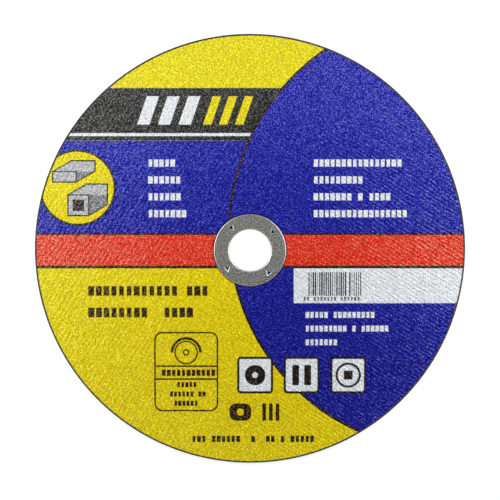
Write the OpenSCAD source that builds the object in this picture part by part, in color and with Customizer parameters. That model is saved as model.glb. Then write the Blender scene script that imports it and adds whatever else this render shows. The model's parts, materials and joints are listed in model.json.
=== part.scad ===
// Flat cut-off wheel: a resin-bonded disc, a printed paper label and a stamped steel bore ring.
// The wheel lies on its back face. The origin is the centre of the bore on that face.

/* [Wheel] */
// Outside diameter of the wheel
wheel_d = 230; // [100:1:400]
// Thickness over the disc and its label
wheel_t = 2; // [1.2:0.1:4]
// Radius along both edges of the rim
rim_edge_r = 0.2; // [0.05:0.05:0.5]

/* [Bore ring] */
// Diameter of the finished bore
bore_d = 22.23; // [16:0.01:26]
// Outside diameter of the ring's flange
ring_d = 38.5; // [34:0.5:60]
// Thickness of the ring's sheet steel
sheet_t = 0.5; // [0.3:0.05:0.8]
// Inside radius of the bend between the flange and the collar
bend_r = 0.4; // [0.1:0.05:0.6]
// Width of the coined slope along the outer edge of the flange
flange_edge_w = 0.3; // [0.1:0.05:1]
// Drop of that slope below the face of the flange
flange_edge_drop = 0.15; // [0.05:0.05:0.25]
// Depth of the flange's underside below the face of the label
flange_sink = 0.25; // [0.05:0.05:0.4]
// Distance from the end of the collar to the back face
collar_back = 0.15; // [0:0.05:0.5]

/* [Piercings] */
// Number of three-sided piercings in the flange
pierce_n = 4; // [3:1:8]
// Angle of the first piercing from the X axis
pierce_turn = 39.3; // [0:0.1:119]
// Side of each piercing, below its coined edge
pierce_side = 2.5; // [1.5:0.1:3]
// Width of the coined edge round each piercing
pierce_edge_w = 0.3; // [0.1:0.05:0.5]
// Depth of that edge below the face of the flange
pierce_edge_drop = 0.15; // [0.05:0.05:0.25]
// Uncut corner between two petals, measured along a side
petal_land = 0.2; // [0.1:0.05:0.4]

/* [Label] */
// Thickness of the paper
label_t = 0.15; // [0.05:0.05:0.3]
// Bare margin of the disc outside the label
label_margin = 1; // [0.5:0.1:10]
// Distance from the hole in the label to the bend of the ring
label_clear = 0.3; // [0.1:0.1:1]

/* [Hidden] */
$fn = 128;
cut = 1;

wheel_r = wheel_d / 2;
label_r = wheel_r - label_margin;

bore_r = bore_d / 2;
ring_r = ring_d / 2;
collar_r = bore_r + sheet_t;

// Levels of the flange, and the centre that both faces of its bend share
flange_z = wheel_t - flange_sink;
flange_top = flange_z + sheet_t;
bend_x = collar_r + bend_r;
bend_z = flange_z - bend_r;
label_hole_r = bend_x + label_clear;

// The piercings sit in the middle of the flange
pierce_circle_r = (bend_x + ring_r) / 2;
pierce_in_r = pierce_side / (2 * sqrt(3));
pierce_corner_r = 2 * pierce_in_r;

// A petal is a third of the pierced triangle, folded down along its side
petal_w = pierce_side - 2 * petal_land;
petal_h = pierce_in_r;
petal_root = sheet_t / 4;

// Block in a half section, from x0 to x1 and z0 to z1
module section_block(x0, x1, z0, z1) {
    translate([x0, z0])
        square([x1 - x0, z1 - z0]);
}

// Block in a half section whose two outer corners have a radius
module rounded_block(x0, x1, z0, z1, r) {
    section_block(x0, x1 - r, z0, z1);
    section_block(x0, x1, z0 + r, z1 - r);
    for (z = [z0 + r, z1 - r])
        translate([x1 - r, z])
            circle(r);
}

module disc_section() {
    difference() {
        union() {
            rounded_block(ring_r, wheel_r, 0, wheel_t, rim_edge_r);
            section_block(bend_x, ring_r + label_t, 0, flange_z);
            section_block(collar_r, ring_r, 0, bend_z);
            translate([bend_x, bend_z])
                circle(bend_r);
        }
        label_section();
    }
}

// The paper is flush with the rim margin and steps down under the flange
module label_section() {
    section_block(label_hole_r, ring_r + label_t, flange_z - label_t, flange_z);
    section_block(ring_r, ring_r + label_t, flange_z - label_t, wheel_t);
    section_block(ring_r, label_r, wheel_t - label_t, wheel_t);
}

// The collar, the flange with its coined outer edge, and the bend between them
module ring_section() {
    section_block(bore_r, collar_r, collar_back, bend_z);
    polygon([
        [bend_x, flange_z],
        [ring_r, flange_z],
        [ring_r, flange_top - flange_edge_drop],
        [ring_r - flange_edge_w, flange_top],
        [bend_x, flange_top],
    ]);
    intersection() {
        section_block(bore_r, bend_x, bend_z, flange_top);
        translate([bend_x, bend_z])
            difference() {
                circle(bend_r + sheet_t);
                circle(bend_r);
            }
    }
}

// Places a child at each piercing, with a corner towards the bore
module at_piercings() {
    for (i = [0 : pierce_n - 1])
        rotate(pierce_turn + i * 360 / pierce_n)
            translate([pierce_circle_r, 0, 0])
                rotate(180)
                    children();
}

// The opening of one piercing; its coined edge goes on past the face of the flange for a clean cut
module pierce_opening() {
    translate([0, 0, flange_z - cut])
        cylinder(h = sheet_t + 2 * cut, r = pierce_corner_r, $fn = 3);
    translate([0, 0, flange_top - pierce_edge_drop])
        cylinder(
            h = 2 * pierce_edge_drop,
            r1 = pierce_corner_r,
            r2 = pierce_corner_r + 4 * pierce_edge_w,
            $fn = 3
        );
}

// The three petals of one piercing, each with its inner face in line with a side of the opening
module petals() {
    for (side = [60, 180, 300])
        rotate(side)
            translate([pierce_in_r, 0, flange_z])
                rotate([90, 0, 90])
                    linear_extrude(sheet_t)
                        polygon([
                            [-petal_w / 2, petal_root],
                            [-petal_w / 2, 0],
                            [0, -petal_h],
                            [petal_w / 2, 0],
                            [petal_w / 2, petal_root],
                        ]);
}

module abrasive_disc() {
    color([0.22, 0.20, 0.18])
        difference() {
            rotate_extrude()
                disc_section();
            at_piercings()
                petals();
        }
}

module paper_label() {
    color([0.90, 0.80, 0.10])
        difference() {
            rotate_extrude()
                label_section();
            at_piercings()
                petals();
        }
}

module arbor_ring() {
    color([0.62, 0.63, 0.61])
        difference() {
            union() {
                rotate_extrude()
                    ring_section();
                at_piercings()
                    petals();
            }
            at_piercings()
                pierce_opening();
        }
}

abrasive_disc();
paper_label();
arbor_ring();
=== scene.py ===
"""Dresses a packed cut-off wheel: its pressed disc, printed label, steel bore ring and studio."""

import json
from math import cos, pi, radians, sin

import bmesh
import bpy
from bpy.props import FloatProperty, FloatVectorProperty, PointerProperty
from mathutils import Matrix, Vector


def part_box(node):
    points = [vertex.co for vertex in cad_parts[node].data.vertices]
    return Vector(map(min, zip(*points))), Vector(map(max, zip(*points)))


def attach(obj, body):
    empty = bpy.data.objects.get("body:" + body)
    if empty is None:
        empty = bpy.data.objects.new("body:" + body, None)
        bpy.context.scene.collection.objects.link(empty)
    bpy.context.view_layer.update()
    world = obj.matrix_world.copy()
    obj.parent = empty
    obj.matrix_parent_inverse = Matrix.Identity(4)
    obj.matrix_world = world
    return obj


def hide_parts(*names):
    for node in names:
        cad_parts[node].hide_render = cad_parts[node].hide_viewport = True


bl_info = {
    "name": "Cut-off Wheel",
    "version": (1, 0, 0),
    "blender": (4, 5, 0),
    "location": "3D View > Sidebar > Wheel",
    "description": "Models and finishes a flat cut-off wheel with a printed label and a steel bore ring",
    "category": "Add Mesh",
}

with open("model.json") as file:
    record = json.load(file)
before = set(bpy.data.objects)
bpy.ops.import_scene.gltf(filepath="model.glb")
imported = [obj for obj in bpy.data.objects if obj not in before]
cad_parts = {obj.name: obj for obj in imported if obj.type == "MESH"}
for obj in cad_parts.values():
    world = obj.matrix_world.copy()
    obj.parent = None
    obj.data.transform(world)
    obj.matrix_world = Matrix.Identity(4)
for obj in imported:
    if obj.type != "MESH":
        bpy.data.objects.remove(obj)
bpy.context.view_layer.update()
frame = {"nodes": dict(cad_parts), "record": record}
MM = 0.001
HAIR = 0.01 * MM

DISC_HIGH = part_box("abrasive_disc")[1]
LABEL_LOW, LABEL_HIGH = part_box("paper_label")
RING_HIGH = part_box("arbor_ring")[1]
BORE = next(mount for mount in frame["record"]["mounts"] if mount["name"] == "bore")


# Settings

def length(name, description, default):
    """A property for a size in metres."""
    return FloatProperty(name=name, description=description, default=default, unit="LENGTH", precision=5)


def angle(name, description, degrees):
    """A property for an angle, whose default is given in degrees."""
    return FloatProperty(name=name, description=description, default=radians(degrees), subtype="ANGLE")


def power(name, description, default):
    """A property for the power of a lamp in watts."""
    return FloatProperty(name=name, description=description, default=default, unit="POWER")


def strength(name, description, default):
    """A property for the strength of a glowing wall."""
    return FloatProperty(name=name, description=description, default=default)


def ink(name, description, default):
    """A property for a printed colour."""
    return FloatVectorProperty(name=name, description=description, default=default, subtype="COLOR")


class WheelShape(bpy.types.PropertyGroup):
    """Sizes of the pieces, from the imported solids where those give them"""

    rim_radius: length("Rim radius", "Radius of the disc", DISC_HIGH[0])
    thickness: length("Thickness", "Height of the label's face above the back", DISC_HIGH[2])
    label_radius: length("Label radius", "Radius of the paper label", LABEL_HIGH[0])
    label_seat: length("Label seat", "Height of the label's underside below the ring", LABEL_LOW[2])
    ring_radius: length("Ring radius", "Radius of the flange of the bore ring", RING_HIGH[0])
    bore_radius: length("Bore radius", "Radius of the finished bore", BORE["dims"]["r_mm"] * MM)
    paper: length("Paper", "Thickness of the label", 0.15 * MM)
    sheet: length("Sheet", "Thickness of the ring's steel", 0.5 * MM)
    ring_bend: length("Ring bend", "Room that the label's hole leaves for the ring's bend", 0.7 * MM)
    tuck: length("Tuck", "Width of the label's slope down to the ring", 0.6 * MM)
    rim_edge: length("Rim edge", "Radius along the edges of the rim", 0.2 * MM)
    grain: length("Grain", "Depth of the open grain on the rim", 0.18 * MM)
    grain_size: length("Grain size", "Width of the open grain on the rim", 0.7 * MM)


class PressedMesh(bpy.types.PropertyGroup):
    """The glass mesh that was pressed into both faces"""

    turn: angle("Turn", "Angle of the first set of strands", -32)
    warp_pitch: length("Warp pitch", "Distance between pairs of strands of the first set", 3.92 * MM)
    weft_pitch: length("Weft pitch", "Distance between pairs of strands of the second set", 4.72 * MM)
    label_depth: length("Depth in the label", "Height of the strands under the paper", 0.12 * MM)
    back_depth: length("Depth in the back", "Height of the strands on the bare back", 0.16 * MM)


class LabelInks(bpy.types.PropertyGroup):
    """Colours of the label's print"""

    yellow: ink("Yellow", "Upper and lower fields", (0.77, 0.64, 0.0007))
    blue: ink("Blue", "Left and right fields", (0.0055, 0.0072, 0.31))
    red: ink("Red", "Band across the wheel", (0.73, 0.037, 0.0125))
    black: ink("Black", "Band above the left field", (0.0100, 0.0100, 0.0092))
    white: ink("White", "Panel, tiles and light rows", (0.765, 0.795, 0.825))
    line: ink("Line", "Dark lines between the fields", (0.014, 0.008, 0.005))
    umber: ink("Umber", "Dark rows on the yellow", (0.034, 0.013, 0.0013))
    grey: ink("Grey", "Shaded sides of the metal in the round field", (0.16, 0.165, 0.165))
    silver: ink("Silver", "Lit sides of the metal in the round field", (0.42, 0.43, 0.44))


class Studio(bpy.types.PropertyGroup):
    """Camera and light"""

    camera_distance: length("Camera distance", "From the bore to the camera", 1.0)
    camera_tilt: angle("Camera tilt", "Lean of the camera towards the top of the label", 4.6)
    view_width: length("View width", "Width of the picture at the wheel", 267.6 * MM)
    floor_width: length("Floor width", "Side of the square floor", 6.0)
    lamp_distance: length("Lamp distance", "From the axis of the wheel to each lamp", 0.35)
    lamp_height: length("Lamp height", "From the floor to each lamp", 0.25)
    lamp_width: length("Lamp width", "Side of each square lamp", 0.45)
    right_bearing: angle("Right bearing", "Bearing of the right lamp from the X axis", 16)
    left_bearing: angle("Left bearing", "Bearing of the left lamp from the X axis", 163)
    right_power: power("Right lamp", "Power of the lamp at the right", 1.65)
    left_power: power("Left lamp", "Power of the lamp at the left", 1.6)
    walls: strength("Walls", "Strength of the white walls all round", 0.36)
    ceiling: strength("Ceiling", "Strength of the dim ceiling over the camera", 0.12)


# Modelling

def strand_sheet(name, mesh, inner, outer, height):
    """Adds a flat ring of cells that run with the strands, each edge of it on a circle, in edit mode."""
    bpy.ops.object.select_all(action="DESELECT")
    cells_per_pair = 6
    spare_pairs = 2
    across = round(2 * outer / mesh.weft_pitch + spare_pairs) * cells_per_pair
    along = round(2 * outer / mesh.warp_pitch + spare_pairs) * cells_per_pair
    bpy.ops.mesh.primitive_grid_add(x_subdivisions=across, y_subdivisions=along, size=1)
    sheet = bpy.context.object
    sheet.name = sheet.data.name = name
    bpy.ops.transform.resize(
        value=(across * mesh.weft_pitch / cells_per_pair, along * mesh.warp_pitch / cells_per_pair, 1)
    )
    sheet.rotation_euler.z = mesh.turn
    sheet.location.z = height
    bpy.ops.object.transform_apply(location=True, rotation=True, scale=True)

    bpy.ops.object.mode_set(mode="EDIT")
    bpy.ops.mesh.select_mode(type="FACE")
    bpy.ops.mesh.select_all(action="DESELECT")
    cells = bmesh.from_edit_mesh(sheet.data)
    for cell in cells.faces:
        radius = cell.calc_center_median().xy.length
        cell.select_set(not inner < radius < outer)
    bmesh.update_edit_mesh(sheet.data)
    bpy.ops.mesh.delete(type="FACE")
    cells = bmesh.from_edit_mesh(sheet.data)
    for corner in cells.verts:
        if corner.is_boundary:
            radius = corner.co.xy.length
            corner.co.xy *= (outer if radius > (inner + outer) / 2 else inner) / radius
    bmesh.update_edit_mesh(sheet.data)
    return sheet


def open_edges(piece, test):
    """Selects the open edges of the piece in edit mode whose radius passes the test."""
    bpy.ops.mesh.select_mode(type="EDGE")
    bpy.ops.mesh.select_all(action="DESELECT")
    cells = bmesh.from_edit_mesh(piece.data)
    for edge in cells.edges:
        if edge.is_boundary and test(edge.verts[0].co.xy.length):
            edge.select_set(True)
    bmesh.update_edit_mesh(piece.data)


def carry_edge(start, profile):
    """Extrudes the selected round edge from its (radius, height) along a profile of such points."""
    radius, height = start
    for next_radius, next_height in profile:
        bpy.ops.mesh.extrude_edges_move(TRANSFORM_OT_translate={"value": (0, 0, next_height - height)})
        scale = next_radius / radius
        bpy.ops.transform.resize(value=(scale, scale, 1), center_override=(0, 0, next_height))
        radius, height = next_radius, next_height


def close_up(piece):
    """Bridges the two open edges that are left and turns all faces outwards."""
    open_edges(piece, lambda radius: True)
    bpy.ops.mesh.bridge_edge_loops()
    bpy.ops.mesh.select_all(action="SELECT")
    bpy.ops.mesh.normals_make_consistent(inside=False)
    bpy.ops.object.mode_set(mode="OBJECT")


def group_points(piece, name, test):
    """Makes a vertex group of the points that pass the test."""
    group = piece.vertex_groups.new(name=name)
    group.add([point.index for point in piece.data.vertices if test(point.co)], 1.0, "REPLACE")
    return group.name


def displace(piece, texture, group, depth, middle, direction, guide=None):
    """Moves a group of points by a texture, in the space of a guide if there is one, and applies it."""
    press = piece.modifiers.new(texture.name, "DISPLACE")
    press.texture = texture
    press.vertex_group = group
    press.strength = depth
    press.mid_level = middle
    press.direction = direction
    if guide:
        press.texture_coords = "OBJECT"
        press.texture_coords_object = guide
    bpy.context.view_layer.objects.active = piece
    bpy.ops.object.modifier_apply(modifier=press.name)
    bpy.data.textures.remove(texture)


def press_strands(piece, mesh, group, depth):
    """Presses the two sets of paired strands into a group of points: each pair, and the two in it."""
    guide = bpy.data.objects.new("strand_guide", None)
    bpy.context.scene.collection.objects.link(guide)
    band_period = 2 * pi / 10
    far = 1000.0
    pair_share, strand_share = 0.4, 0.6
    for turn, pitch in ((mesh.turn, mesh.warp_pitch), (mesh.turn + pi / 2, mesh.weft_pitch)):
        for period, share in ((pitch, pair_share), (pitch / 2, strand_share)):
            texture = bpy.data.textures.new("strands", "WOOD")
            texture.wood_type = "BANDS"
            texture.noise_basis_2 = "SIN"
            guide.rotation_euler = (0, 0, turn)
            guide.scale = (far, period / band_period, far)
            bpy.context.view_layer.update()
            displace(piece, texture, group, depth * share, 0.5, "Z", guide)
    bpy.data.objects.remove(guide)


def finish_piece(piece, node_name, material):
    """Smooths a piece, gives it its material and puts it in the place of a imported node."""
    piece.vertex_groups.clear()
    piece.data.materials.clear()
    piece.data.materials.append(material)
    bpy.ops.object.select_all(action="DESELECT")
    piece.select_set(True)
    bpy.context.view_layer.objects.active = piece
    sharpest_bend = radians(40)
    bpy.ops.object.shade_smooth_by_angle(angle=sharpest_bend)
    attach(piece, "root")
    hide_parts(node_name)


# Shader nodes

def feed(tree, made, inputs):
    """Fills the inputs of a node: a socket is linked and a value is set."""
    for key, value in inputs.items():
        if isinstance(value, bpy.types.NodeSocket):
            tree.links.new(value, made.inputs[key])
        else:
            made.inputs[key].default_value = value


def node(tree, kind, inputs=(), **settings):
    """Adds a node with its settings and inputs."""
    made = tree.nodes.new(kind)
    for key, value in settings.items():
        setattr(made, key, value)
    feed(tree, made, dict(inputs))
    return made


def calc(tree, operation, *values):
    """One step of arithmetic."""
    return node(tree, "ShaderNodeMath", dict(enumerate(values)), operation=operation).outputs[0]


def total(tree, first, *others):
    """The sum of several values."""
    for other in others:
        first = calc(tree, "ADD", first, other)
    return first


def product(tree, first, *others):
    """Several values multiplied together."""
    for other in others:
        first = calc(tree, "MULTIPLY", first, other)
    return first


def ramp(tree, value, low, high, to_low=0.0, to_high=1.0):
    """Maps low..high to to_low..to_high and holds the ends."""
    mapped = node(
        tree, "ShaderNodeMapRange",
        {"Value": value, "From Min": low, "From Max": high, "To Min": to_low, "To Max": to_high},
        interpolation_type="LINEAR", clamp=True,
    )
    return mapped.outputs["Result"]


def vector_calc(tree, operation, inputs):
    """One step of arithmetic on vectors."""
    return node(tree, "ShaderNodeVectorMath", inputs, operation=operation).outputs["Vector"]


def split(tree, vector):
    """The X, Y and Z of a vector."""
    return node(tree, "ShaderNodeSeparateXYZ", {"Vector": vector}).outputs


def chances(tree, colour):
    """Two chances from 0 to 1, out of a random colour."""
    parts = node(tree, "ShaderNodeSeparateColor", {"Color": colour}).outputs
    return parts["Red"], parts["Green"]


def mix(tree, factor, below, above, blend="MIX"):
    """Lays one colour over another. A colour is a socket or three numbers."""
    factor_in, below_in, above_in, colour_out = 0, 6, 7, 2
    values = {factor_in: factor}
    for key, value in ((below_in, below), (above_in, above)):
        values[key] = value if isinstance(value, bpy.types.NodeSocket) else (*value, 1.0)
    made = node(tree, "ShaderNodeMix", values, data_type="RGBA", blend_type=blend, clamp_factor=True)
    return made.outputs[colour_out]


def shaded(tree, colour, tone):
    """A colour made darker or lighter by a tone."""
    return mix(tree, 1.0, colour, tone, "MULTIPLY")


def noise(tree, place, size, detail=2.0, roughness=0.5):
    """Soft noise whose spots are about size millimetres across."""
    return node(
        tree, "ShaderNodeTexNoise",
        {"Vector": place, "Scale": 1 / size, "Detail": detail, "Roughness": roughness},
    ).outputs


def bump(tree, height, depth):
    """The normal of a surface with a relief of a depth in metres, from a height of 0 to 1."""
    relief = node(tree, "ShaderNodeBump", {"Height": height, "Distance": depth, "Strength": 1.0})
    return relief.outputs["Normal"]


def new_material(name):
    """A new material, its tree and its surface shader."""
    material = bpy.data.materials.new(name)
    material.use_nodes = True
    tree = material.node_tree
    return material, tree, tree.nodes["Principled BSDF"]


def place_on_piece(tree):
    """The place on the piece, in millimetres."""
    where = node(tree, "ShaderNodeTexCoord").outputs["Object"]
    return vector_calc(tree, "SCALE", {0: where, "Scale": 1 / MM})


def from_axis(tree, place):
    """A place laid flat, and its distance from the axis of the wheel."""
    flat = vector_calc(tree, "MULTIPLY", {0: place, 1: (1, 1, 0)})
    radius = node(tree, "ShaderNodeVectorMath", {0: flat}, operation="LENGTH").outputs["Value"]
    return flat, radius


# Print, in millimetres from the centre of the bore

class LabelPrint:
    """Lays flat shapes of ink over one another, in the order in which they are printed.

    A shape is the distance to its edge in millimetres, negative inside it.
    """

    edge = 0.15

    def __init__(self, tree, place, paper):
        parts = split(tree, place)
        self.tree = tree
        self.x = parts["X"]
        self.y = parts["Y"]
        self.colour = paper

    def calc(self, operation, *values):
        """One step of arithmetic."""
        return calc(self.tree, operation, *values)

    def slope(self, across, up):
        """The length of a line that goes so far across and up."""
        square = self.calc("ADD", self.calc("MULTIPLY", across, across), self.calc("MULTIPLY", up, up))
        return self.calc("SQRT", square)

    def bar(self, axis, low, high):
        """The stretch from low to high along an axis."""
        offset = self.calc("SUBTRACT", axis, (low + high) / 2)
        return self.calc("SUBTRACT", self.calc("ABSOLUTE", offset), (high - low) / 2)

    def band(self, low, high):
        """A level band across the whole label."""
        return self.bar(self.y, low, high)

    def disc(self, centre, radius):
        """A round shape."""
        across = self.calc("SUBTRACT", self.x, centre[0])
        up = self.calc("SUBTRACT", self.y, centre[1])
        return self.calc("SUBTRACT", self.slope(across, up), radius)

    def box(self, left, right, low, high, corner=0.01):
        """A rectangle with round corners."""
        across = self.bar(self.x, left + corner, right - corner)
        up = self.bar(self.y, low + corner, high - corner)
        inside = self.calc("MINIMUM", self.both(across, up), 0.0)
        outside = self.slope(self.calc("MAXIMUM", across, 0.0), self.calc("MAXIMUM", up, 0.0))
        return self.calc("SUBTRACT", self.calc("ADD", outside, inside), corner)

    def block(self, centre, width, height, corner):
        """A rectangle with round corners about its centre."""
        x, y = centre
        return self.box(x - width / 2, x + width / 2, y - height / 2, y + height / 2, corner)

    def slanted(self, left, width, low, high, lean):
        """An upright bar that leans to the right by lean for each millimetre of height."""
        across = self.calc("SUBTRACT", self.x, self.calc("MULTIPLY", self.y, lean))
        foot = left - low * lean
        return self.both(self.bar(across, foot, foot + width), self.band(low, high))

    def both(self, one, other):
        """Where two shapes overlap."""
        return self.calc("MAXIMUM", one, other)

    def without(self, shape, hole):
        """A shape with a hole in it."""
        return self.calc("MAXIMUM", shape, self.calc("MULTIPLY", hole, -1.0))

    def outline(self, shape, width):
        """A line along the edge of a shape."""
        return self.calc("SUBTRACT", self.calc("ABSOLUTE", shape), width / 2)

    def fill(self, shape, colour):
        """Prints a shape over what is there."""
        mask = ramp(self.tree, shape, self.edge, -self.edge)
        self.colour = mix(self.tree, mask, self.colour, colour)

    def row(self, colour, seed, left, middle, long, high, pitch, widths):
        """A row of plain blocks a pitch apart, in groups of uneven length.

        The widths are the narrowest and widest block, as shares of the pitch.
        """
        seed_step = 53.7
        gap_chance = 0.14
        whole_ends = 2 * pitch
        sharp = 100.0
        along = self.calc("DIVIDE", self.calc("SUBTRACT", self.x, left), pitch)
        number = self.calc("ADD", self.calc("FLOOR", along), seed * seed_step)
        luck = node(self.tree, "ShaderNodeTexWhiteNoise", {"W": number}, noise_dimensions="1D")
        width, gap = chances(self.tree, luck.outputs["Color"])
        from_middle = self.calc("ABSOLUTE", self.calc("SUBTRACT", self.calc("FRACT", along), 0.5))
        half = ramp(self.tree, width, 0.0, 1.0, widths[0] / 2, widths[1] / 2)
        block = self.calc("MULTIPLY", self.calc("SUBTRACT", from_middle, half), pitch)
        right = left + pitch * round(long / pitch)
        gap = self.calc("MULTIPLY", self.calc("SUBTRACT", gap, gap_chance), sharp)
        gap = self.both(gap, self.bar(self.x, left + whole_ends, right - whole_ends))
        whole = self.box(left, right, middle - high / 2, middle + high / 2)
        self.fill(self.without(self.both(whole, block), gap), colour)

    def rows(self, colour, seed, left, top, high, lengths, drop=0.0):
        """Rows of blocks under one another, the first of them at the height of top."""
        pitch = 0.78 * high
        widths = (0.6, 0.84)
        for number, long in enumerate(lengths):
            self.row(colour, seed + number, left, top - number * drop, long, high, pitch, widths)


def print_fields(face, inks):
    """The fields of colour and the lines between them."""
    left_field_high = 58.5
    face.fill(face.band(low=8.5, high=left_field_high), inks.blue)
    face.fill(face.band(low=left_field_high, high=86.4), inks.black)
    face.fill(face.band(low=60.9, high=62.5), inks.white)

    low, high, lean = 67, 82, 0.35
    for left in (-60, -49, -38):
        face.fill(face.slanted(left, width=6.5, low=low, high=high, lean=lean), inks.white)
    for left in (-25, -16.5, -8):
        face.fill(face.slanted(left, width=4.5, low=low, high=high, lean=lean), inks.yellow)

    right_field = face.disc(centre=(106.6, 9.8), radius=117.6)
    face.fill(right_field, inks.blue)
    face.fill(face.outline(right_field, width=1.4), inks.line)
    face.fill(face.band(low=-9.7, high=9.2), inks.line)
    face.fill(face.band(low=-8.3, high=8.2), inks.red)


def print_stock(face, inks, left, low, width, height, hollow=0.0):
    """A length of metal stock, drawn from its end with its length running to the upper right."""
    run, rise = 10.0, 5.8
    right, high = left + width, low + height
    body = face.both(face.bar(face.x, left, right + run), face.bar(face.y, low, high + rise))
    lean = rise / run
    level = face.calc("SUBTRACT", face.y, face.calc("MULTIPLY", face.x, lean))
    body = face.both(body, face.bar(level, low - right * lean, high - left * lean))
    face.fill(body, inks.grey)
    face.fill(face.both(body, face.bar(face.y, high, high + rise)), inks.silver)
    face.fill(face.outline(body, width=0.8), inks.line)
    end = face.box(left, right, low, high)
    face.fill(end, inks.silver)
    face.fill(face.outline(end, width=0.7), inks.line)
    if hollow:
        face.fill(face.box(left + hollow, right - hollow, low + hollow, high - hollow), inks.line)


def print_round_field(face, inks):
    """The round field at the left, with a flat bar and a square tube on it."""
    field = face.disc(centre=(-91.9, 33.4), radius=19.8)
    face.fill(field, inks.yellow)
    face.fill(face.outline(field, width=1.2), inks.line)
    print_stock(face, inks, left=-105.0, low=36.5, width=12.5, height=5.5)
    print_stock(face, inks, left=-97.0, low=18.6, width=11.0, height=11.0, hollow=2.4)


def print_panel(face, inks):
    """The white panel with its upright bars and a small row under them."""
    face.fill(face.box(left=23.4, right=130, low=-28.4, high=-9.7), inks.white)
    face.row(
        inks.line, seed=0, left=31.0, middle=-18.1, long=28.5, high=12.6, pitch=1.15, widths=(0.2, 0.75)
    )
    face.row(
        inks.grey, seed=40, left=28.4, middle=-26.0, long=31.0, high=2.0, pitch=1.8, widths=(0.4, 0.7)
    )


def print_tiles(face, inks):
    """Three white tiles, each with a plain mark."""
    first, pitch, middle = 2.75, 25.0, -67.25
    ring, bars, target = [(first + number * pitch, middle) for number in range(3)]
    for centre in (ring, bars, target):
        tile = face.block(centre, width=18.1, height=18.7, corner=1.6)
        face.fill(tile, inks.white)
        face.fill(face.outline(tile, width=1.2), inks.line)
    face.fill(face.disc(ring, radius=5.5), inks.line)
    face.fill(face.disc(ring, radius=1.6), inks.white)
    for shift in (-3.2, 3.2):
        face.fill(face.block((bars[0] + shift, bars[1]), width=3.6, height=11.0, corner=0.8), inks.line)
    face.fill(face.outline(face.disc(target, radius=6.2), width=1.2), inks.line)
    face.fill(face.block(target, width=4.8, height=4.8, corner=0.5), inks.line)


def print_data_box(face, inks):
    """The outlined box on the lower yellow field, with a wheel and its guard in the upper cell."""
    left, right, low, high = -51.0, -17.5, -86.5, -44.3
    face.fill(face.outline(face.box(left, right, low, high, corner=4.0), width=0.85), inks.umber)
    half_line = 0.45
    for level in (-62.4, -69.4):
        face.fill(face.box(left, right, level - half_line, level + half_line), inks.umber)
    hub = ((left + right) / 2, -55.0)
    for radius in (6.0, 1.4):
        face.fill(face.outline(face.disc(hub, radius), width=0.8), inks.umber)
    guard = face.outline(face.disc(hub, radius=7.6), width=1.4)
    face.fill(face.both(guard, face.band(low=hub[1], high=high)), inks.umber)


def print_marks(face, inks):
    """Two plain marks at the right of the data box."""
    low, high = -92.0, -82.6
    wall = 2.9
    face.fill(face.box(left=-11.0, right=0.6, low=low, high=high, corner=3.5), inks.umber)
    face.fill(face.box(left=-7.0, right=-3.4, low=low + wall, high=high - wall, corner=1.2), inks.yellow)
    bar_width = 2.0
    for left in (6.6, 10.2, 13.8):
        face.fill(face.box(left, left + bar_width, low, high, corner=0.5), inks.umber)


def print_rows(face, inks):
    """Rows of plain blocks on the fields of colour."""
    face.rows(inks.white, seed=1, left=-54.5, top=46.6, high=3.8, lengths=(16, 18, 17, 20), drop=9.0)
    face.rows(inks.white, seed=5, left=33.6, top=46.6, high=3.8, lengths=(47, 27.5, 42, 50), drop=9.0)
    face.rows(inks.white, seed=9, left=29.5, top=-34.7, high=3.2, lengths=(37.5, 45, 18), drop=7.4)
    face.rows(inks.umber, seed=12, left=-87.0, top=-21.8, high=5.2, lengths=(63, 57), drop=11.6)
    face.rows(inks.umber, seed=14, left=-47.6, top=-66.0, high=3.4, lengths=(28,))
    face.rows(inks.umber, seed=15, left=-39.4, top=-72.4, high=2.8, lengths=(11,))
    face.rows(inks.umber, seed=16, left=-43.3, top=-77.5, high=2.8, lengths=(18.7,))
    face.rows(inks.umber, seed=17, left=-41.0, top=-82.5, high=2.8, lengths=(14,))
    face.rows(inks.umber, seed=18, left=-31.5, top=-101.9, high=3.4, lengths=(65,))


def soft_edges(tree, place):
    """Shifts each place a little, so that ink edges wander on the rough paper."""
    spot_size, reach = 0.9, 0.3
    wander = noise(tree, place, spot_size)["Color"]
    shift = vector_calc(tree, "SUBTRACT", {0: wander, 1: (0.5, 0.5, 0.5)})
    shift = vector_calc(tree, "SCALE", {0: shift, "Scale": reach})
    return vector_calc(tree, "ADD", {0: place, 1: shift})


def label_print(tree, place, inks):
    """The colour of the whole print, on yellow paper."""
    face = LabelPrint(tree, soft_edges(tree, place), inks.yellow)
    print_fields(face, inks)
    print_round_field(face, inks)
    print_panel(face, inks)
    print_tiles(face, inks)
    print_data_box(face, inks)
    print_marks(face, inks)
    print_rows(face, inks)
    return face.colour


# Materials

def strand_wave(tree, place, turn, pitch):
    """The height of one set of strands, from -1 to 1, uneven along each strand."""
    stretch = 5.0
    turned = node(
        tree, "ShaderNodeMapping", {"Vector": place, "Rotation": (0, 0, turn), "Scale": (stretch, 1, 1)},
        vector_type="TEXTURE",
    ).outputs["Vector"]
    bend_size, sway = 7.0, 0.7
    wander = ramp(tree, noise(tree, place, bend_size)["Fac"], 0.2, 0.8, -sway, sway)
    across = total(tree, split(tree, turned)["Y"], wander)
    wave = calc(tree, "SINE", product(tree, across, 2 * pi * MM / pitch))
    patch_size = 1.5
    plainness = ramp(tree, noise(tree, turned, patch_size)["Fac"], 0.35, 0.65)
    return product(tree, wave, plainness)


def strand_waves(tree, place, mesh):
    """The heights of both sets of strands, with two strands to each pair."""
    warp = strand_wave(tree, place, mesh.turn, mesh.warp_pitch / 2)
    weft = strand_wave(tree, place, mesh.turn + pi / 2, mesh.weft_pitch / 2)
    return warp, weft


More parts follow.
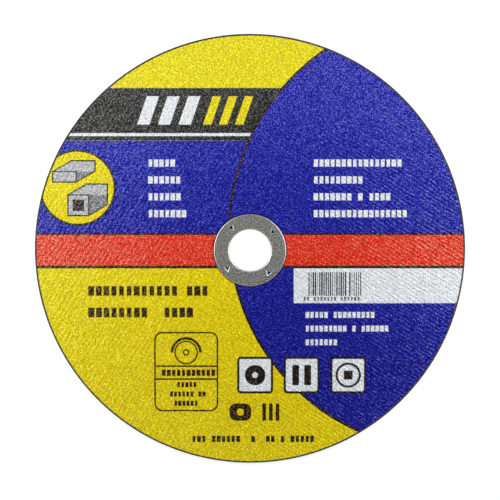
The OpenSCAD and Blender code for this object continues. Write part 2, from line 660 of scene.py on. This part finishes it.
def abrasive_grains(tree, place, size, dimensions):
    """Rounded grains about size millimetres apart: their height, and two chances for each grain."""
    cells = node(
        tree, "ShaderNodeTexVoronoi", {"Vector": place, "Scale": 1 / size, "Randomness": 1.0},
        voronoi_dimensions=dimensions,
    )
    height = ramp(tree, cells.outputs["Distance"], 0.1, 0.7, 1.0, 0.0)
    return (height, *chances(tree, cells.outputs["Color"]))


def paper_strands(tree, place, mesh):
    """Strands that show through the paper, painted lit as the lamps would light them: the first set on the
    right half and the second on the left.

    Gives how hard they press on the ink, with painted glints along them, the ridges that catch the light
    as a painted highlight, and the share of the left half.
    """
    parts = split(tree, place)
    across, up = parts["X"], parts["Y"]
    # Painted light: the first set shows on the right and the second on the left, as the lamp on each side
    # would light them.
    right_side = ramp(tree, across, -60.0, 60.0)
    left_side = calc(tree, "SUBTRACT", 1.0, right_side)
    warp, weft = strand_waves(tree, place, mesh)
    warp = product(tree, warp, right_side)
    weft = product(tree, weft, left_side)
    fade_down = ramp(tree, up, -75.0, 0.0, 0.4, 1.0)
    fade_up = ramp(tree, up, 35.0, 75.0, 1.0, 0.3)
    pressed = product(tree, total(tree, warp, weft), fade_down, fade_up)
    weft_light = 0.35
    ridges = product(tree, total(tree, warp, product(tree, weft, weft_light)), fade_up)
    return pressed, ridges, left_side


def printed_paper(inks, mesh, ring_radius):
    """Print on paper that was pressed on the mesh: ink that is thin and pale on every raised grain, with
    painted glints and painted shade laid over the print.
    """
    material, tree, surface = new_material("printed_paper")
    place = place_on_piece(tree)
    up = split(tree, place)["Y"]
    flat, radius = from_axis(tree, place)
    grain_size = 0.42
    grain, luck, shade = abrasive_grains(tree, flat, grain_size, "2D")
    pressed, ridges, left_side = paper_strands(tree, place, mesh)

    # Pale flecks: thin ink on the raised grains, together with painted glints along the strands, more
    # towards the rim and on the left half, and fewer low down.
    flecks_and_glints_on_strands = product(tree, pressed, ramp(tree, radius, 30.0, 105.0, 0.12, 0.34))
    painted_glints_outwards = ramp(tree, radius, 40.0, 112.0, -0.08, 0.14)
    fewer_painted_glints_low = ramp(tree, up, -85.0, 0.0, -0.15, -0.03)
    painted_glints_on_left = product(tree, left_side, 0.12)
    raised = total(tree, luck, flecks_and_glints_on_strands, painted_glints_outwards, fewer_painted_glints_low, painted_glints_on_left)
    thin_ink_and_painted_glints = product(tree, ramp(tree, raised, 0.0, 1.0), ramp(tree, grain, 0.0, 0.5))

    # Painted shade and light: the ink is made darker towards the bottom and lighter towards the top.
    ink_painted_darker_low = ramp(tree, up, -75.0, 75.0, 1.8, 1.25)
    thin_ink_and_glint = 0.27
    density = ramp(tree, thin_ink_and_painted_glints, 0.0, 1.0, ink_painted_darker_low, thin_ink_and_glint)
    print_colour = label_print(tree, place, inks)
    colour = node(tree, "ShaderNodeGamma", {"Color": print_colour, "Gamma": density}).outputs["Color"]
    tone = ramp(tree, shade, 0.0, 1.0, 0.70, 1.26)
    # Darker in the grain's hollows, where ink pools, and lighter on its tops, partly painted shade; a
    # painted highlight along the strand ridges.
    tone = total(tree, tone, ramp(tree, grain, 0.0, 1.0, -0.2, 0.1), product(tree, ridges, 0.14))
    ring_edge = ring_radius / MM
    # Painted shade: the label is darkened next to the ring's flange and inside its piercings, where the
    # ring shades it.
    painted_shade_by_ring = ramp(tree, radius, ring_edge + 0.2, ring_edge + 1.0, 0.2, 1.0)
    colour = shaded(tree, shaded(tree, colour, tone), painted_shade_by_ring)

    grain_depth, ridge_depth = 0.05, 0.09
    height = total(tree, product(tree, grain, grain_depth), product(tree, ridges, ridge_depth))
    feed(tree, surface, {
        "Base Color": colour,
        "Roughness": ramp(tree, grain, 0.0, 1.0, 0.42, 0.62),
        "Specular IOR Level": 0.12,
        "Normal": bump(tree, height, MM),
    })
    return material


def bonded_abrasive(mesh, rim_radius):
    """Brown and dark grains in dark resin, a few painted pale as glints, with the strands of the mesh
    showing on the back.
    """
    material, tree, surface = new_material("bonded_abrasive")
    place = place_on_piece(tree)
    dark_grain, brown_grain = (0.012, 0.011, 0.010), (0.075, 0.060, 0.047)
    painted_glint_colour, glass = (0.30, 0.27, 0.24), (0.20, 0.185, 0.155)
    grain_size = 0.5
    grain, luck, shade = abrasive_grains(tree, place, grain_size, "3D")
    colour = mix(tree, luck, dark_grain, brown_grain)
    # Painted glints: a few grains are painted pale.
    glint = product(tree, ramp(tree, shade, 0.9, 0.97), 0.7)
    colour = mix(tree, glint, colour, painted_glint_colour)
    colour = shaded(tree, colour, ramp(tree, grain, 0.1, 0.7, 0.35, 1.25))

    rim = rim_radius / MM
    radius = from_axis(tree, place)[1]
    on_back = ramp(tree, split(tree, place)["Z"], 0.2, 0.4, 1.0, 0.0)
    inside_rim = ramp(tree, radius, rim - 1.4, rim - 0.6, 1.0, 0.0)
    warp, weft = strand_waves(tree, place, mesh)
    strands = ramp(tree, calc(tree, "MAXIMUM", warp, weft), 0.1, 0.8)
    laid_bare = ramp(tree, luck, 0.0, 1.0, 0.35, 0.75)
    colour = mix(tree, product(tree, strands, on_back, inside_rim, laid_bare), colour, glass)

    grain_depth = 0.16 * MM
    feed(tree, surface, {
        "Base Color": colour,
        "Roughness": ramp(tree, shade, 0.0, 1.0, 0.5, 0.85),
        "Normal": bump(tree, grain, grain_depth),
    })
    return material


def plated_steel():
    """Dull thin plating on stamped sheet, painted pale where it was coined or drawn to a slope: a burnish
    there, with a painted reflection.
    """
    material, tree, surface = new_material("plated_steel")
    place = place_on_piece(tree)
    dull, pale, burnish_and_painted_reflection = (0.385, 0.385, 0.363), (0.47, 0.47, 0.444), (0.80, 0.80, 0.77)
    cloud_size, speck_size = 2.5, 0.55
    cloud = noise(tree, place, cloud_size, detail=3.0, roughness=0.6)["Fac"]
    specks = ramp(tree, noise(tree, place, speck_size, detail=1.0)["Fac"], 0.38, 0.62)
    colour = mix(tree, ramp(tree, cloud, 0.3, 0.7), dull, pale)
    colour = shaded(tree, colour, ramp(tree, specks, 0.0, 1.0, 0.34, 1.56))
    # Sloped faces are painted pale: a burnish from the stamping and a painted reflection of the bright
    # walls.
    facing = node(tree, "ShaderNodeNewGeometry").outputs["True Normal"]
    level = calc(tree, "ABSOLUTE", split(tree, facing)["Z"])
    colour = mix(tree, ramp(tree, level, 0.9, 0.98, 0.45, 0.0), colour, burnish_and_painted_reflection)
    speck_depth = 0.02 * MM
    feed(tree, surface, {
        "Base Color": colour,
        "Metallic": 1.0,
        "Roughness": ramp(tree, specks, 0.0, 1.0, 0.34, 0.46),
        "Normal": bump(tree, specks, speck_depth),
    })
    return material


def studio_floor():
    """A pale floor that the camera and mirrors see as white, apart from the shadow on it."""
    material, tree, surface = new_material("studio_floor")
    path = node(tree, "ShaderNodeLightPath").outputs
    seen = calc(tree, "MAXIMUM", path["Is Camera Ray"], path["Is Glossy Ray"])
    seen = calc(tree, "MAXIMUM", seen, path["Is Transmission Ray"])
    glow = 0.7
    feed(tree, surface, {
        "Base Color": (0.45, 0.45, 0.45, 1),
        "Roughness": 0.9,
        "Specular IOR Level": 0.0,
        "Emission Color": (1, 1, 1, 1),
        "Emission Strength": product(tree, seen, glow),
    })
    return material


def studio_sky(walls, ceiling):
    """White walls all round, and a ceiling of another strength."""
    sky = bpy.data.worlds.new("studio_sky")
    sky.use_nodes = True
    tree = sky.node_tree
    towards = node(tree, "ShaderNodeTexCoord").outputs["Generated"]
    wall_top, ceiling_edge = 0.6, 0.92
    glow = ramp(tree, split(tree, towards)["Z"], wall_top, ceiling_edge, walls, ceiling)
    feed(tree, tree.nodes["Background"], {"Color": (1, 1, 1, 1), "Strength": glow})
    return sky


# Pieces and stage

class WHEEL_OT_abrasive_disc(bpy.types.Operator):
    """Model the pressed disc, with open grain on its rim and the mesh showing on its back"""

    bl_idname = "wheel.abrasive_disc"
    bl_label = "Abrasive Disc"

    def execute(self, context):
        shape = context.scene.wheel_shape
        mesh = context.scene.wheel_mesh
        collar = shape.bore_radius + shape.sheet
        edge = shape.rim_edge
        top = shape.thickness
        floor = top - shape.paper
        back_outer = shape.rim_radius - edge
        back_inner = collar + edge
        disc = strand_sheet("abrasive_disc_pressed", mesh, back_inner, back_outer, 0.0)

        open_edges(disc, lambda radius: radius > shape.ring_radius)
        rows = 6
        wall = top - 2 * edge
        turns = (radians(35), radians(65))
        low_turn = [(back_outer + edge * sin(turn), edge - edge * cos(turn)) for turn in turns]
        side = [(shape.rim_radius, edge + wall * row / rows) for row in range(rows + 1)]
        high_turn = [(radius, top - height) for radius, height in reversed(low_turn)]
        margin = [(back_outer, top), (shape.label_radius, top), (shape.label_radius, floor)]
        carry_edge((back_outer, 0.0), low_turn + side + high_turn + margin)

        open_edges(disc, lambda radius: radius < shape.ring_radius)
        seat = shape.label_seat
        step = shape.ring_radius + shape.paper
        carry_edge((back_inner, 0.0), [(collar, edge), (collar, seat), (step, seat), (step, floor)])
        close_up(disc)

        plain_margin = 1 * MM
        mesh_edge = back_outer - plain_margin
        back = group_points(disc, "back", lambda point: point.z < HAIR and point.xy.length < mesh_edge)
        press_strands(disc, mesh, back, mesh.back_depth)
        rim_start = back_outer + 0.1 * edge
        rim = group_points(disc, "rim", lambda point: point.xy.length > rim_start)
        grit = bpy.data.textures.new("grit", "CLOUDS")
        grit.noise_scale = shape.grain_size
        displace(disc, grit, rim, shape.grain, 1.0, "NORMAL")
        for point in disc.data.vertices:
            point.co.z = max(point.co.z, 0.0)
        finish_piece(disc, "abrasive_disc", bonded_abrasive(mesh, shape.rim_radius))
        return {"FINISHED"}


class WHEEL_OT_paper_label(bpy.types.Operator):
    """Model the paper label, pressed over the mesh and tucked under the ring"""

    bl_idname = "wheel.paper_label"
    bl_label = "Paper Label"

    def execute(self, context):
        shape = context.scene.wheel_shape
        mesh = context.scene.wheel_mesh
        face = shape.thickness - mesh.label_depth / 2
        floor = shape.thickness - shape.paper
        ring = shape.ring_radius
        inner = ring + shape.tuck
        label = strand_sheet("paper_label_pressed", mesh, inner, shape.label_radius, face)

        between = 2 * ring
        open_edges(label, lambda radius: radius > between)
        carry_edge((shape.label_radius, face), [(shape.label_radius, floor)])

        open_edges(label, lambda radius: radius < between)
        seat = shape.label_seat
        under_ring = seat + shape.paper - HAIR
        hole = shape.bore_radius + shape.sheet + shape.ring_bend
        step = ring + shape.paper
        slope = [(ring + 0.35 * shape.tuck, face - 0.05 * MM), (ring + 0.1 * shape.tuck, face - 0.15 * MM)]
        hidden = [(ring, under_ring), (hole, under_ring), (hole, seat), (step, seat), (step, floor)]
        carry_edge((inner, face), slope + hidden)
        close_up(label)

        pressed = group_points(label, "pressed", lambda point: point.z > face - HAIR)
        press_strands(label, mesh, pressed, mesh.label_depth)
        paper = printed_paper(context.scene.wheel_inks, mesh, ring)
        finish_piece(label, "paper_label", paper)
        return {"FINISHED"}


class WHEEL_OT_arbor_ring(bpy.types.Operator):
    """Finish the steel ring in the bore"""

    bl_idname = "wheel.arbor_ring"
    bl_label = "Arbor Ring"

    def execute(self, context):
        ring = frame["nodes"]["arbor_ring"]
        ring.data.materials.clear()
        ring.data.materials.append(plated_steel())
        return {"FINISHED"}


class WHEEL_OT_stage(bpy.types.Operator):
    """Set out the floor, the light and the camera"""

    bl_idname = "wheel.stage"
    bl_label = "Stage"

    def execute(self, context):
        scene = context.scene
        studio = scene.wheel_studio
        bpy.ops.object.select_all(action="DESELECT")
        bpy.ops.mesh.primitive_plane_add(size=studio.floor_width, location=(0, 0, 0))
        floor = context.object
        floor.name = "studio_floor"
        floor.data.materials.append(studio_floor())
        scene.world = studio_sky(studio.walls, studio.ceiling)

        lamps = (
            ("right_lamp", studio.right_bearing, studio.right_power),
            ("left_lamp", studio.left_bearing, studio.left_power),
        )
        away = studio.lamp_distance
        for name, bearing, watts in lamps:
            place = (away * cos(bearing), away * sin(bearing), studio.lamp_height)
            bpy.ops.object.light_add(type="AREA", location=place)
            lamp = context.object
            lamp.name = name
            lamp.data.energy = watts
            lamp.data.size = studio.lamp_width
            lamp.rotation_euler = (-lamp.location).to_track_quat("-Z", "Y").to_euler()

        lean = studio.camera_tilt
        away = studio.camera_distance
        place = (0, away * sin(lean), away * cos(lean))
        bpy.ops.object.camera_add(location=place, rotation=(-lean, 0, 0))
        camera = context.object
        camera.data.sensor_width = 36
        camera.data.lens = camera.data.sensor_width * away / studio.view_width
        scene.camera = camera
        scene.view_settings.view_transform = "Standard"
        return {"FINISHED"}


class WHEEL_PT_pieces(bpy.types.Panel):
    """Lists the pieces of the wheel and its stage"""

    bl_label = "Cut-off Wheel"
    bl_space_type = "VIEW_3D"
    bl_region_type = "UI"
    bl_category = "Wheel"

    def draw(self, context):
        for operator in OPERATORS:
            self.layout.operator(operator.bl_idname)
        for group in PROPERTIES:
            settings = getattr(context.scene, group)
            for key in settings.__annotations__:
                self.layout.prop(settings, key)


OPERATORS = (WHEEL_OT_abrasive_disc, WHEEL_OT_paper_label, WHEEL_OT_arbor_ring, WHEEL_OT_stage)
PROPERTIES = {
    "wheel_shape": WheelShape,
    "wheel_mesh": PressedMesh,
    "wheel_inks": LabelInks,
    "wheel_studio": Studio,
}
CLASSES = (*PROPERTIES.values(), *OPERATORS, WHEEL_PT_pieces)


def register():
    """Adds the settings, the operators and the panel to Blender."""
    for cls in CLASSES:
        bpy.utils.register_class(cls)
    for key, group in PROPERTIES.items():
        setattr(bpy.types.Scene, key, PointerProperty(type=group))


def unregister():
    """Takes the settings, the operators and the panel away again."""
    for key in PROPERTIES:
        delattr(bpy.types.Scene, key)
    for cls in reversed(CLASSES):
        bpy.utils.unregister_class(cls)


def main():
    """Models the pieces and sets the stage."""
    register()
    bpy.ops.wheel.abrasive_disc()
    bpy.ops.wheel.paper_label()
    bpy.ops.wheel.arbor_ring()
    bpy.ops.wheel.stage()


if __name__ == "__main__":
    main()
